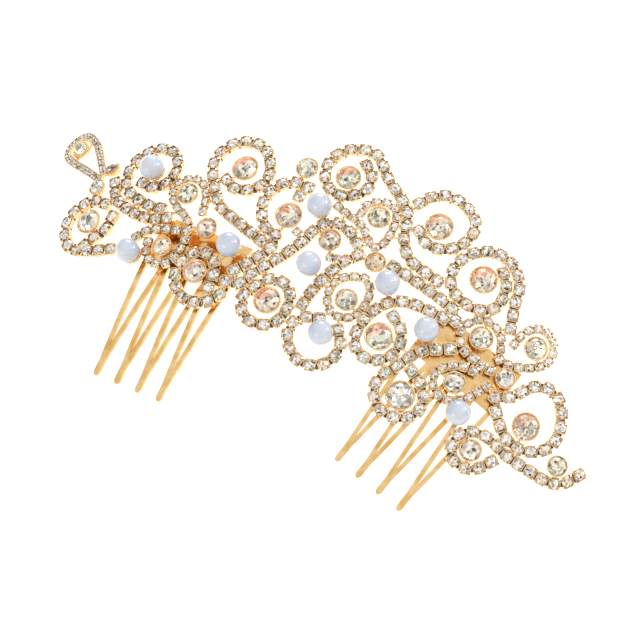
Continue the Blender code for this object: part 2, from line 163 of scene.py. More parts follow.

# The layout tables began as positions read off the photo by eye and turned into millimetres by a script
# outside this file, and COMBS as a fit to such positions. Many points were then moved.
# chains: size, whether the ends meet, and the line of stone centres
STRANDS = {
    "strand_left_scroll": (LARGE, False, [
        (-62.9, -5.4), (-67.4, -6.2), (-70.6, -11.0), (-69.4, -16.0), (-65.0, -18.9), (-59.6, -17.7),
        (-53.6, -14.7)]),
    "strand_pearl_loop_left": (LARGE, False, [
        (-47.8, -0.1), (-51.2, -0.8), (-57.4, -0.4), (-61.2, 1.6), (-63.2, 7.0), (-60.2, 12.4),
        (-55.3, 13.9),
        (-51.1, 11.2), (-50.8, 6.4), (-53.8, 3.5), (-57.0, 3.4)]),
    "strand_lower_row_left": (LARGE, False, [
        (-64.5, 0.5), (-62.3, -1.9), (-59.4, -3.5), (-53.5, -4.2), (-48.5, -3.5), (-44.5, -1.3)]),
    "strand_vine_left": (SMALL, False, [
        (-37.3, 4.2), (-39.2, 8.0), (-42.4, 10.3), (-45.7, 10.0), (-48.0, 7.2), (-47.2, 4.2), (-44.3, 2.2),
        (-40.6, 1.0), (-37.9, -1.0), (-36.7, -4.6), (-36.8, -8.6), (-38.4, -11.7), (-41.6, -12.6),
        (-44.4, -11.0), (-45.5, -8.7)]),
    "strand_ring_left": (LARGE, False, [
        (-24.2, -11.3), (-25.0, -8.0), (-27.0, -5.0), (-30.4, -4.4), (-33.3, -6.9), (-34.1, -10.8),
        (-32.3, -14.4), (-28.0, -16.3), (-23.2, -14.8), (-20.7, -11.2)]),
    "strand_long_loop_left": (LARGE, False, [
        (-37.2, 13.8), (-34.0, 12.9), (-30.4, 14.4), (-28.4, 17.6), (-29.2, 21.4), (-33.2, 25.0),
        (-38.0, 25.4),
        (-42.0, 22.8), (-43.5, 18.0), (-41.4, 13.6), (-36.3, 8.9), (-33.4, 7.0), (-26.9, 5.9),
        (-19.8, 4.8)]),
    "strand_upper_loop_mid": (LARGE, False, [
        (-21.1, -4.6), (-17.9, 1.4), (-16.7, 5.0), (-17.8, 8.0), (-21.4, 8.5), (-25.0, 12.6), (-25.4, 17.4),
        (-22.6, 21.2), (-18.1, 22.1)]),
    "strand_column_mid": (LARGE, False, [
        (-21.3, -7.8), (-18.1, -6.6), (-16.9, -3.1), (-13.8, 2.9), (-11.3, 9.3), (-10.1, 14.4), (-8.0, 17.6),
        (-3.9, 18.0), (0.2, 16.3)]),
    "strand_spine": (LARGE, False, [
        (-9.8, 34.4), (-7.0, 32.6), (-6.0, 28.8), (-8.7, 25.2), (-12.5, 24.2), (-16.2, 26.3), (-18.0, 31.0),
        (-15.6, 35.9), (-9.6, 38.1), (-3.2, 34.2), (2.7, 31.4), (5.8, 29.2), (7.5, 25.9), (9.0, 22.9),
        (12.6, 19.8), (17.8, 19.2), (21.0, 19.1)]),
    "strand_small_loop_top": (SMALL, False, [
        (-9.2, 21.8), (-5.9, 21.3), (-3.0, 21.0), (-0.8, 20.3), (1.4, 18.9), (3.4, 17.4), (5.1, 18.9),
        (5.4, 21.6), (4.8, 25.2), (3.4, 28.0), (0.8, 28.9), (-1.9, 27.8), (-3.6, 25.6), (-3.5, 23.3)]),
    "strand_pearl_row_mid": (LARGE, False, [
        (-2.1, -3.0), (-2.2, -0.5), (-1.9, 2.5), (-1.3, 5.8), (-0.4, 9.2), (0.6, 11.8), (2.2, 14.0)]),
    "strand_ring_mid": (SMALL, True, [
        (4.3, 9.1), (1.9, 7.0), (1.1, 4.0), (2.6, 0.3), (5.9, -1.1), (9.2, 0.6), (10.2, 4.2), (9.4, 8.0),
        (6.9, 10.1)]),
    "strand_double_row": (LARGE, False, [
        (10.5, 16.2), (14.4, 16.1), (20.2, 16.0), (26.4, 15.6), (29.4, 14.9), (29.3, 12.6), (26.2, 12.3),
        (19.6, 11.2), (16.2, 9.7), (13.8, 7.1), (12.2, 2.6), (12.5, -3.0), (15.4, -5.6), (19.1, -5.2),
        (21.8, -2.5), (22.2, 1.4), (20.2, 4.6), (17.3, 6.0)]),
    "strand_right_loop": (LARGE, False, [
        (6.6, 33.0), (8.0, 35.8), (11.8, 38.7), (17.0, 38.5), (20.9, 35.8), (21.2, 31.0), (18.4, 26.8),
        (14.1, 25.3), (10.5, 27.0)]),
    "strand_far_loop": (LARGE, False, [
        (41.5, 19.3), (39.2, 24.7), (37.6, 29.3), (33.6, 32.7), (28.0, 32.7), (23.8, 28.9), (22.5, 24.0),
        (24.2, 20.0), (28.4, 18.3), (32.6, 18.7), (35.5, 20.9), (36.0, 24.4), (34.9, 27.6), (32.7, 29.7)]),
    "strand_small_rings_right": (SMALL, False, [
        (40.6, 8.2), (35.4, 8.8), (32.7, 11.3), (32.5, 14.4), (34.4, 17.0), (37.6, 17.8), (40.6, 16.4),
        (42.3, 13.8), (43.6, 11.8), (47.1, 12.5), (51.2, 15.0), (53.2, 18.2), (52.4, 21.8), (49.4, 23.8),
        (46.4, 22.9), (44.7, 20.2), (44.2, 16.8)]),
    "strand_lower_right_loop": (LARGE, True, [
        (47.4, 3.7), (50.6, 6.2), (53.4, 11.0), (57.6, 12.9), (61.8, 10.8), (64.6, 5.4), (64.0, 0.8),
        (59.8, -2.6), (54.6, -2.6), (50.4, 0.2)]),
    "strand_tail": (LARGE, False, [
        (74.2, 0.7), (72.2, -2.9), (68.8, -5.1), (62.9, -5.7), (56.8, -5.9), (52.2, -5.1), (48.2, -5.5),
        (45.5, -7.8), (45.1, -10.8), (47.0, -13.6), (50.2, -14.0), (53.2, -12.2), (55.0, -9.0)]),
    "strand_ring_right": (SMALL, False, [
        (44.3, 4.9), (42.8, 1.4), (40.6, -1.8), (37.4, -3.4), (34.0, -2.4), (32.7, 0.6), (34.0, 3.3),
        (36.8, 5.3), (39.8, 6.0)]),
    "strand_lower_loop": (LARGE, False, [
        (27.9, -2.3), (31.3, -3.6), (33.9, -6.4), (34.2, -10.0), (31.6, -13.1), (27.2, -13.8), (23.4, -11.4),
        (22.7, -7.6), (24.6, -2.6), (27.4, 3.1), (32.4, 7.2)]),
    "strand_pearl_loop_low": (LARGE, False, [
        (8.3, -3.7), (10.9, -6.6), (11.0, -10.4), (8.6, -13.6), (4.6, -14.7), (0.6, -13.0), (-1.7, -9.4),
        (-0.6, -5.9), (3.2, -3.7)]),
    "strand_low_loop": (LARGE, True, [
        (-14.3, -5.2), (-15.5, -9.0), (-13.0, -12.3), (-9.2, -12.7), (-5.6, -10.7), (-4.6, -6.6),
        (-5.8, -2.9),
        (-9.0, -1.1), (-12.6, -2.2)]),
}
BRANCHES = {
    "strand_left_scroll": (LARGE, [(-58.8, -7.4), (-58.5, -11.2), (-60.4, -14.6), (-61.4, -17.0)]),
    "strand_vine_left": (SMALL, [(-49.2, -9.0), (-47.4, -6.4), (-44.0, -4.3), (-37.9, -2.0)]),
    "strand_pearl_row_mid": (SMALL, [(-3.4, 10.0), (0.2, 11.2)]),
}
# single cups set in the gaps between chains: the strand they are soldered to, size, u, v, heading
FILLERS = [
    ("strand_column_mid", SMALL, -13.6, 11.2, 1.4), ("strand_upper_loop_mid", LARGE, -18.6, 19.0, 0.2),
    ("strand_small_rings_right", SMALL, 42.9, 8.3, 0.2),
]
PAVE_TEAR = [
    (-69.3, 1.1), (-75.4, 5.8), (-78.5, 7.6), (-82.0, 8.4), (-84.6, 7.2), (-85.8, 4.6), (-85.3, 2.4),
    (-83.3, 1.0), (-79.6, 0.4), (-75.3, 0.1), (-69.4, -0.6)]
TEAR_TURN = math.radians(60)
# beaded drop-shaped frame round the first crystal
DROP_FRAME = [
    (-79.9, 7.3), (-79.0, 5.3), (-79.2, 3.3), (-80.9, 2.1), (-82.9, 2.7), (-83.6, 4.5),
    (-83.0, 6.3), (-81.6, 7.4)]
# the two settings soldered to the point of the tear: u, v, radius, stretch, colour
TEAR_SETTINGS = [(-68.0, -2.7, 2.2, 1.0, GREENISH), (-67.4, 3.0, 1.25, 1.9, SMOKY)]

PEARLS = [
    (-55.2, 7.2), (-46.8, -13.4), (-24.8, -0.4), (-12.0, 18.7), (-5.7, 5.4), (12.1, 11.4), (5.9, -6.8),
    (25.5, 7.2), (42.0, -4.6),
]

# crystals: u, v, radius, colour, and how much painted coral reflection its upper side carries
CRYSTALS = [
    (-81.2, 4.4, 2.0, GREENISH, 0.0), (-63.8, -11.2, 3.0, GREENISH, 0.1), (-43.4, 6.1, 2.6, GREENISH, 0.0),
    (-40.7, -8.2, 2.4, PEACH, 0.2), (-33.3, 0.9, 2.5, PINK, 0.3), (-29.3, -9.5, 2.8, PINK, 0.5),
    (-34.6, 18.4, 3.1, GREENISH, 1.0), (-21.3, 26.0, 2.6, GREENISH, 0.0), (-11.3, 29.1, 2.9, GREENISH, 0.9),
    (-17.6, 13.4, 3.1, PEACH, 0.8), (-5.6, 13.4, 2.6, PEACH, 0.4), (-9.7, -6.7, 3.1, PEACH, 0.9),
    (6.0, 3.3, 2.6, GREENISH, 0.1), (17.2, 0.1, 3.2, GREENISH, 0.6), (0.8, 24.4, 2.6, GREENISH, 0.1),
    (6.5, 14.6, 2.4, AMBER, 0.2), (14.0, 30.4, 3.2, PEACH, 0.5), (29.8, 25.4, 3.2, PEACH, 0.7),
    (37.0, 13.3, 2.7, GREENISH, 0.1), (48.9, 18.8, 2.7, GREENISH, 0.1), (46.8, 8.7, 2.3, CLEAR, 0.0),
    (37.6, 1.0, 2.5, CLEAR, 0.0), (29.0, -8.6, 3.3, CLEAR, 0.0), (57.0, 2.2, 3.2, PEACH, 0.4),
    (68.4, -0.9, 2.4, GREENISH, 0.1), (49.4, -9.8, 2.5, CLEAR, 0.1),
]


def rest_turn():
    return Matrix.Rotation(REST_ROLL, 3, "X") @ Matrix.Rotation(REST_PITCH, 3, "Y")


def bend(u, v, w):
    """A layout point (mm) on the bent piece, in the row frame (m)."""
    turn_v = v / BEND_ACROSS
    turn_u = u / BEND_ALONG
    height = (BEND_ACROSS + w) * math.cos(turn_v) - BEND_ACROSS
    reach = BEND_ALONG + height
    point = Vector((reach * math.sin(turn_u), (BEND_ACROSS + w) * math.sin(turn_v),
                    reach * math.cos(turn_u) - BEND_ALONG))
    return (rest_turn() @ point + REST_PLACE) * MM


def seat(u, v, turn=0.0):
    """Placement, in metres, of something made in millimetres to stand on the head side at (u, v)."""
    along = (bend(u + 0.5, v, 0.0) - bend(u - 0.5, v, 0.0)).normalized()
    across = (bend(u, v + 0.5, 0.0) - bend(u, v - 0.5, 0.0)).normalized()
    up = along.cross(across).normalized()
    axes = Matrix((along, up.cross(along), up)).transposed().to_4x4()
    return Matrix.Translation(bend(u, v, 0.0)) @ axes @ Matrix.Rotation(turn, 4, "Z") @ Matrix.Scale(MM, 4)


def spline(points, closed):
    """Dense points of a smooth line through the layout points."""
    knots = np.array(points)
    if closed:
        knots = np.vstack([knots[-1], knots, knots[0], knots[1]])
    else:
        knots = np.vstack([2 * knots[0] - knots[1], knots, 2 * knots[-1] - knots[-2]])
    line = []
    for before, start, end, after in zip(knots, knots[1:], knots[2:], knots[3:]):
        for step in range(PATH_STEPS):
            t = step / PATH_STEPS
            line.append(0.5 * (2 * start + (end - before) * t
                               + (2 * before - 5 * start + 4 * end - after) * t ** 2
                               + (3 * start - before - 3 * end + after) * t ** 3))
    line.append(knots[-2])
    return np.array(line)


def stations(points, closed, pitch):
    """Evenly spaced (u, v, heading) along a line, and the spacing used."""
    line = spline(points, closed)
    travelled = np.concatenate([[0.0], np.cumsum(np.linalg.norm(np.diff(line, axis=0), axis=1))])
    gaps = max(1, round(travelled[-1] / pitch))
    spacing = travelled[-1] / gaps
    made = []
    for index in range(gaps if closed else gaps + 1):
        distance = index * spacing
        u, v = (np.interp(distance, travelled, line[:, axis]) for axis in (0, 1))
        ahead, behind = min(distance + HEADING_REACH, travelled[-1]), max(distance - HEADING_REACH, 0.0)
        (u_a, v_a), (u_b, v_b) = (
            [np.interp(spot, travelled, line[:, axis]) for axis in (0, 1)] for spot in (behind, ahead))
        heading = math.atan2(v_b - v_a, u_b - u_a)
        made.append((u, v, heading))
    return made, spacing


class Shape:
    """Vertices and faces gathered for one piece, with a material and a tint for each face."""

    def __init__(self):
        self.verts = []
        self.faces = []
        self.slots = []
        self.tints = []
        self.smooth = []

    def add(self, verts, faces, place, slot=0, tint=CLEAR, smooth=False):
        """Adds faces made in millimetres. tint is one colour, or one for each face."""
        start = len(self.verts)
        self.verts += [tuple(place @ Vector(vert)) for vert in verts]
        self.faces += [tuple(start + corner for corner in face) for face in faces]
        self.slots += [slot] * len(faces)
        self.tints += tint if isinstance(tint, list) else [tint] * len(faces)
        self.smooth += [smooth] * len(faces)

    def piece(self, name, materials, slot_name, replaces=()):
        mesh = bpy.data.meshes.new(name)
        mesh.from_pydata(self.verts, [], self.faces)
        for surface in materials:
            mesh.materials.append(surface)
        mesh.polygons.foreach_set("material_index", self.slots)
        mesh.polygons.foreach_set("use_smooth", self.smooth)
        tints = mesh.color_attributes.new("tint", "FLOAT_COLOR", "CORNER")
        for polygon, tint in zip(mesh.polygons, self.tints):
            for loop in polygon.loop_indices:
                tints.data[loop].color = (*tint, 1.0)
        made = bpy.data.objects.new(name, mesh)
        bpy.context.scene.collection.objects.link(made)
        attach(made, "root")
        if replaces:
            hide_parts(*replaces)
        return made


def ring(radius, height, count, turn=0.0, stretch=1.0):
    return [(stretch * radius * math.cos(turn + math.tau * step / count),
             radius * math.sin(turn + math.tau * step / count), height) for step in range(count)]


def band_faces(lower, upper, count):
    """Quads between two rings of vertices that start at the indices lower and upper."""
    return [(lower + step, lower + (step + 1) % count, upper + (step + 1) % count, upper + step)
            for step in range(count)]


def turned(profile, count, stretch=1.0):
    """Closed shape turned from (radius, height) points, with a flat foot and a flat top."""
    verts = [vert for radius, height in profile for vert in ring(radius, height, count, 0.0, stretch)]
    faces = [tuple(reversed(range(count)))]
    for level in range(len(profile) - 1):
        faces += band_faces(level * count, (level + 1) * count, count)
    top = (len(profile) - 1) * count
    faces.append(tuple(range(top, top + count)))
    return verts, faces


def cut_square(half_x, half_y, height, cut):
    """Square with its corners cut off, as eight vertices."""
    corner = cut * min(half_x, half_y)
    return [(half_x, half_y - corner, height), (half_x - corner, half_y, height),
            (corner - half_x, half_y, height), (-half_x, half_y - corner, height),
            (-half_x, corner - half_y, height), (corner - half_x, -half_y, height),
            (half_x - corner, -half_y, height), (half_x, corner - half_y, height)]


def cup(size, length):
    """Open square cup: tapered wall, rim, and a floor that the stone hides."""
    half_x, half_y, height = length / 2, size["width"] / 2, size["height"]
    verts = cut_square(half_x * CUP_TAPER, half_y * CUP_TAPER, 0.0, CORNER_CUT)
    verts += cut_square(half_x, half_y, height * 0.55, CORNER_CUT)
    verts += cut_square(half_x, half_y, height, CORNER_CUT)
    verts += cut_square(half_x - RIM, half_y - RIM, height, CORNER_CUT)
    verts += cut_square(half_x - RIM, half_y - RIM, height * 0.6, CORNER_CUT)
    faces = [tuple(reversed(range(8))), tuple(range(32, 40))]
    for level in range(4):
        faces += band_faces(level * 8, (level + 1) * 8, 8)
    return verts, faces


def prongs(size, length):
    """Four claws bent in over the stone from the corners of a cup."""
    verts, faces = [], []
    top = size["height"] + 0.9 * size["crown"]
    for side_x, side_y in ((1, 1), (-1, 1), (-1, -1), (1, -1)):
        outward = Vector((side_x * length / 2, side_y * size["width"] / 2, 0.0)) * PRONG_FOOT
        across = Vector((-outward.y, outward.x, 0.0)).normalized() * PRONG / 2
        inward = outward * -0.14
        stages = [(outward * 1.0, size["height"] * 0.5, 1.0), (outward * 0.98, size["height"] * 1.12, 1.0),
                  (outward * PRONG_TIP / PRONG_FOOT, top, 0.6)]
        start = len(verts)
        for middle, height, share in stages:
            for shift, width in ((-inward * share, across), (-inward * share, -across),
                                 (inward * share, -across), (inward * share, across)):
                corner = middle + shift + width * share
                verts.append((corner.x, corner.y, height))
        for level in range(2):
            faces += band_faces(start + 4 * level, start + 4 * (level + 1), 4)
        faces.append(tuple(range(start + 8, start + 12)))
    return verts, faces


def block(low, high):
    """Box between two corners."""
    verts = [(x, y, z) for z in (low[2], high[2])
             for x, y in ((low[0], low[1]), (high[0], low[1]), (high[0], high[1]), (low[0], high[1]))]
    return verts, [(3, 2, 1, 0), (4, 5, 6, 7), *band_faces(0, 4, 4)]


def brilliant(radius, girdle, crown, facets, stretch=1.0):
    """Crown of a round brilliant: girdle, kites, stars and table, with a pointed back below."""
    half_step = math.pi / facets
    verts = ring(radius, girdle - 0.12, 2 * facets, 0.0, stretch)
    verts += ring(radius, girdle, 2 * facets, 0.0, stretch)
    verts += ring(0.5 * (1 + TABLE_SHARE) * radius, girdle + 0.62 * crown, facets, half_step, stretch)
    verts += ring(TABLE_SHARE * radius, girdle + crown, facets, 0.0, stretch)
    verts += [(0.0, 0.0, girdle - 0.7 * crown), (0.0, 0.0, girdle + crown)]
    low, edge, middle, table, point = 0, 2 * facets, 4 * facets, 5 * facets, 6 * facets
    faces = [(low + (step + 1) % (2 * facets), low + step, point) for step in range(2 * facets)]
    faces += band_faces(low, edge, 2 * facets)
    for step in range(facets):
        following = (step + 1) % facets
        faces += [(edge + 2 * step, edge + 2 * step + 1, middle + step),
                  (edge + 2 * step + 1, edge + (2 * step + 2) % (2 * facets), middle + step),
                  (edge + 2 * step, middle + step, table + step, middle + (step - 1) % facets),
                  (table + step, middle + step, table + following),
                  (table + step, table + following, point + 1)]
    return verts, faces


def painted_sparkle_tints(count, colour, chance):
    """Painted sparkle: most facets nearly as light as the stone and a few much darker, standing in for the
    light that the foil sends back.
    """
    tints = []
    for _ in range(count):
        light = 1.0 - FACET_SPREAD * chance.random() ** 2
        tints.append(tuple(channel * light for channel in colour))
    return tints


def paint_coral_reflection(verts, faces, tints, amount, radius):
    """Colours the facets of one side coral: a painted reflection of warm light that the stone catches from
    its upper left.
    """
    toward = Vector((-0.8, 0.6))
    for index, face in enumerate(faces):
        middle = sum((Vector(verts[corner][:2]) for corner in face), Vector((0.0, 0.0))) / len(face)
        share = amount * min(1.0, max(0.0, (middle.dot(toward) / radius - 0.08) * 5.0))
        tints[index] = tuple(plain + (warm - plain) * share for plain, warm in zip(tints[index], CORAL_REFLECTION))
    return tints


def add_cup_stone(gold_shape, stone_shape, size, length, place, chance):
    gold_shape.add(*cup(size, length), place)
    gold_shape.add(*prongs(size, length), place)
    verts, faces = brilliant(size["stone"], size["height"] - GIRDLE_DROP, size["crown"], STONE_SIDES)
    colour = chance.choice((CLEAR, CLEAR, GREENISH, CLEAR, PEACH, PINK))
    stone_shape.add(verts, faces, place, 0, painted_sparkle_tints(len(faces), colour, chance))


def add_chain(gold_shape, stone_shape, size, points, closed, chance):
    places, spacing = stations(points, closed, size["pitch"])
    length = spacing - size["gap"]
    for u, v, heading in places:
        add_cup_stone(gold_shape, stone_shape, size, length, seat(u, v, heading), chance)
    pairs = list(zip(places, places[1:]))
    if closed:
        pairs.append((places[-1], places[0]))
    for (u_a, v_a, _), (u_b, v_b, _) in pairs:
        heading = math.atan2(v_b - v_a, u_b - u_a)
        middle = seat((u_a + u_b) / 2, (v_a + v_b) / 2, heading)
        reach, half = 0.5 * size["gap"] + GAP_OVERLAP, size["width"] / 2
        link_reach, link_half = reach + LINK_OVERLAP, half * LINK_WIDTH
        link = block((-link_reach, -link_half, LINK_FOOT), (link_reach, link_half, LINK_TOP))
        gold_shape.add(*link, middle)
        gap_half = half * GAP_WIDTH
        gap_top = size["height"] * GAP_TALL
        # slot 1 is a dark block of painted shade in the gap between two cups
        gold_shape.add(*block((-reach, -gap_half, GAP_FOOT), (reach, gap_half, gap_top)), middle, 1)


def build_strands(looks, chance):
    for name, (size, closed, points) in STRANDS.items():
        gold_shape, stone_shape = Shape(), Shape()
        add_chain(gold_shape, stone_shape, size, points, closed, chance)
        if name in BRANCHES:
            branch_size, branch_points = BRANCHES[name]
            add_chain(gold_shape, stone_shape, branch_size, branch_points, False, chance)
        for owner, filler_size, u, v, heading in FILLERS:
            if owner == name:
                length = filler_size["pitch"] - filler_size["gap"]
                add_cup_stone(gold_shape, stone_shape, filler_size, length, seat(u, v, heading), chance)
        gold_shape.piece(name + "_cups", [looks["gold"], looks["gap_shade"]], "gold", (name,))
        stone_shape.piece(name + "_stones", [looks["crystal"]], "crystal")


def setting(gold_shape, radius, place, stretch=1.0, beaded=True):
    """Gold cup for a crystal: bellied wall, rim, and a row of beads or a smooth lip."""
    profile = [(share * radius, height) for share, height in SETTING_PROFILE]
    gold_shape.add(*turned(profile, SETTING_SEGMENTS, stretch), place, 0, CLEAR, True)
    if beaded:
        count = round(math.tau * radius * (1 + stretch) / 2 / (RIM_BEAD_PITCH * BEAD))
        for step in range(count):
            angle = math.tau * step / count
            reach = radius - RIM_BEAD_INSET * BEAD
            spot = (stretch * reach * math.cos(angle), reach * math.sin(angle), RIM_BEAD_HEIGHT)
            gold_shape.add(*bead_shape(BEAD), place @ Matrix.Translation(spot), 0, CLEAR, True)


def bead_shape(radius):
    """Small granule, half sunk in the metal."""
    levels = [(math.cos(angle), math.sin(angle)) for angle in BEAD_ANGLES]
    return turned([(radius * reach, radius * height) for reach, height in levels], BEAD_SEGMENTS)


def build_crystals(looks, chance):
    for index, (u, v, solid_radius, colour, coral) in enumerate(CRYSTALS):
        name = f"crystal_{index + 1:02d}"
        radius = SETTING_SPREAD * solid_radius
        place = seat(u, v)
        gold_shape, stone_shape = Shape(), Shape()
        setting(gold_shape, radius, place, 1.0, index not in SMOOTH_RIMS)
        verts, faces = brilliant(STONE_SHARE * radius, GIRDLE_HEIGHT, CROWN, STONE_SIDES)
        tints = painted_sparkle_tints(len(faces), colour, chance)
        stone_shape.add(verts, faces, place, 0, paint_coral_reflection(verts, faces, tints, coral, radius))
        gold_shape.piece(name + "_setting", [looks["gold"]], "gold", (name,))
        stone_shape.piece(name + "_stone", [looks["cut_crystal"]], "crystal")


def build_pearls(looks):
    for index, (u, v) in enumerate(PEARLS):
        name = f"pearl_{index + 1}"
        place = seat(u, v)
        pearl_shape, gold_shape = Shape(), Shape()
        steps = PEARL_SEGMENTS // 2
        angles = [math.pi * step / steps for step in range(1, steps)]
        profile = [(PEARL_RADIUS * math.sin(angle), PEARL_HEIGHT - PEARL_RADIUS * math.cos(angle))
                   for angle in angles]
        pearl_shape.add(*turned(profile, PEARL_SEGMENTS), place, 0, CLEAR, True)
        gold_shape.add(*turned(PEARL_CUP, SETTING_SEGMENTS), place, 0, CLEAR, True)
        for step in range(PEARL_BEADS):
            angle = math.tau * step / PEARL_BEADS
            x, y = PEARL_BEAD_REACH * math.cos(angle), PEARL_BEAD_REACH * math.sin(angle)
            spot = place @ Matrix.Translation((x, y, PEARL_BEAD_HEIGHT))
            gold_shape.add(*bead_shape(BEAD), spot, 0, CLEAR, True)
        pearl_shape.piece(name + "_ball", [looks["pearl"]], "pearl", (name,))
        gold_shape.piece(name + "_cup", [looks["gold"]], "gold")


def strip(points, profile, closed):
    """Strip of constant cross-section along a layout line. profile is (side, height) points."""
    places, _ = stations(points, closed, 0.8)
    verts, faces = [], []
    for u, v, heading in places:
        for side, height in profile:
            verts.append(bend(u - side * math.sin(heading), v + side * math.cos(heading), height))
    count = len(profile)
    for level in range(len(places) - 1):
        faces += band_faces(level * count, (level + 1) * count, count)
    last = (len(places) - 1) * count
    if closed:
        faces += band_faces(last, 0, count)
    else:
        faces += [tuple(reversed(range(count))), tuple(range(last, last + count))]
    return verts, faces


def build_pave(looks, chance):
    gold_shape, stone_shape = Shape(), Shape()
    half, rail = PAVE_WIDTH / 2, PAVE_RAIL
    section = [(-half * PAVE_TAPER, 0.0), (half * PAVE_TAPER, 0.0),
               (half, PAVE_HEIGHT), (half - rail, PAVE_HEIGHT),
               (half - rail, PAVE_HEIGHT * PAVE_FLOOR), (rail - half, PAVE_HEIGHT * PAVE_FLOOR),
               (rail - half, PAVE_HEIGHT), (-half, PAVE_HEIGHT)]
    gold_shape.add(*strip(PAVE_TEAR, section, False), Matrix.Identity(4))
    places, _ = stations(PAVE_TEAR, False, PAVE_PITCH / 2)
    for index, (u, v, heading) in enumerate(places):
        side = PAVE_ROW * (1 if index % 2 else -1)
        spot_u, spot_v = u - side * math.sin(heading), v + side * math.cos(heading)
        verts, faces = brilliant(PAVE_STONE, PAVE_HEIGHT * PAVE_GIRDLE, PAVE_CROWN, PAVE_SIDES)
        tints = painted_sparkle_tints(len(faces), chance.choice((CLEAR, GREENISH, CLEAR)), chance)
        stone_shape.add(verts, faces, seat(spot_u, spot_v, heading), 0, tints)
        bead = seat(u + side * math.sin(heading), v - side * math.cos(heading))
        lifted = bead @ Matrix.Translation((0, 0, PAVE_BEAD_HEIGHT))
        gold_shape.add(*bead_shape(PAVE_BEAD), lifted, 0, CLEAR, True)
        for rail_side in (half - rail / 2, rail / 2 - half):
            edge = seat(u - rail_side * math.sin(heading), v + rail_side * math.cos(heading))
            lifted = edge @ Matrix.Translation((0, 0, PAVE_HEIGHT))
            gold_shape.add(*bead_shape(RAIL_BEAD), lifted, 0, CLEAR, True)
    frame_section = [(-DROP_HALF, DROP_FOOT), (DROP_HALF, DROP_FOOT),
                     (DROP_HALF, DROP_TOP), (-DROP_HALF, DROP_TOP)]
    gold_shape.add(*strip(DROP_FRAME, frame_section, True), Matrix.Identity(4))
    for u, v, _ in stations(DROP_FRAME, True, DROP_BEAD_PITCH * BEAD)[0]:
        gold_shape.add(*bead_shape(BEAD), seat(u, v) @ Matrix.Translation((0, 0, DROP_TOP)), 0, CLEAR, True)
    for u, v, radius, stretch, colour in TEAR_SETTINGS:
        place = seat(u, v, TEAR_TURN)
        setting(gold_shape, radius, place, stretch)
        verts, faces = brilliant(STONE_SHARE * radius, GIRDLE_HEIGHT, TEAR_CROWN, STONE_SIDES, stretch)
        stone_shape.add(verts, faces, place, 0, painted_sparkle_tints(len(faces), colour, chance))
    gold_shape.piece("strand_pave_tear_band", [looks["gold"]], "gold", ("strand_pave_tear",))
    stone_shape.piece("strand_pave_tear_stones", [looks["crystal"]], "crystal")


def settings_list():
    """Every setting as (piece, u, v, radius), for soldering."""
    found = []
    for name, (size, closed, points) in STRANDS.items():
        for u, v, _ in stations(points, closed, size["pitch"])[0]:
            found.append((name, u, v, size["width"] / 2))
    for name, (size, points) in BRANCHES.items():
        for u, v, _ in stations(points, False, size["pitch"])[0]:
            found.append((name, u, v, size["width"] / 2))
    for u, v, _ in stations(PAVE_TEAR, False, PAVE_WIDTH)[0]:
        found.append(("pave", u, v, PAVE_WIDTH / 2))
    for u, v, radius, *_ in TEAR_SETTINGS:
        found.append(("pave", u, v, FOOT_SHARE * radius))
    for index, (u, v, radius, *_) in enumerate(CRYSTALS):
        found.append((f"crystal_{index}", u, v, FOOT_SHARE * radius))
    for index, (u, v) in enumerate(PEARLS):
        found.append((f"pearl_{index}", u, v, PEARL_FOOT))
    return found


def solder_run(solder, start, end, radius):
    """Spindle of solder between two points of the row frame."""
    along = end - start
    half = along.length / MM / 2
    profile = [(0.5, -half), (0.95, -0.6 * half), (1.0, 0.0), (0.95, 0.6 * half), (0.5, half)]
    turn = along.to_track_quat("Z", "Y").to_matrix().to_4x4()
    place = Matrix.Translation((start + end) / 2) @ turn @ Matrix.Scale(MM, 4)
    solder.add(*turned([(radius * reach, height) for reach, height in profile], 8), place, 0, CLEAR, True)


def gap_between(spot, other):
    _, u_a, v_a, radius_a = spot
    _, u_b, v_b, radius_b = other
    return math.hypot(u_b - u_a, v_b - v_a) - radius_a - radius_b


def solder_pair(solder, spot, other):
    ends = [bend(u, v, SOLDER_HEIGHT) for _, u, v, _ in (spot, other)]
    solder_run(solder, *ends, SOLDER_RADIUS)


def solder_settings(solder, spots):
    """Joins neighbouring pieces, and a piece with no near neighbour to the nearest one."""
    joined = set()
    for index, spot in enumerate(spots):
        for other in spots[index + 1:]:
            if spot[0] != other[0] and gap_between(spot, other) <= SOLDER_GAP:
                solder_pair(solder, spot, other)
                joined.update((spot[0], other[0]))
    for name in dict.fromkeys(spot[0] for spot in spots):
        if name not in joined:
            pairs = [(spot, other) for spot in spots if spot[0] == name
                     for other in spots if other[0] != name]
            solder_pair(solder, *min(pairs, key=lambda pair: gap_between(*pair)))


def solder_combs(solder, spots):
    """Posts between each comb plate and the settings that lie over it."""
    for middle_u, middle_v, turn, lift in COMBS:
        for _, u, v, _ in spots[::POST_STEP]:
            x = math.cos(turn) * (u - middle_u) + math.sin(turn) * (v - middle_v)
            y = math.cos(turn) * (v - middle_v) - math.sin(turn) * (u - middle_u)
            if abs(x) < PLATE_HALF - PLATE_EDGE and PLATE_EDGE < y < PLATE_TALL - PLATE_EDGE:
                foot = -COMB_DROP - y * math.tan(lift)
                solder_run(solder, bend(u, v, foot), bend(u, v, POST_TOP), POST_RADIUS)


def build_solder(looks):
    solder = Shape()
    spots = settings_list()
    solder_settings(solder, spots)
    solder_combs(solder, spots)
    solder.piece("solder_joints", [looks["gold"]], "gold")


def start_material(name):
    made = bpy.data.materials.new(name)
    made.use_nodes = True
    tree = made.node_tree
    return made, tree.nodes, tree.links, tree.nodes["Principled BSDF"]


def object_noise(nodes, links, scale, detail):
    where = nodes.new("ShaderNodeTexCoord")
    noise = nodes.new("ShaderNodeTexNoise")
    noise.inputs["Scale"].default_value = scale
    noise.inputs["Detail"].default_value = detail
    links.new(where.outputs["Object"], noise.inputs["Vector"])
    return noise


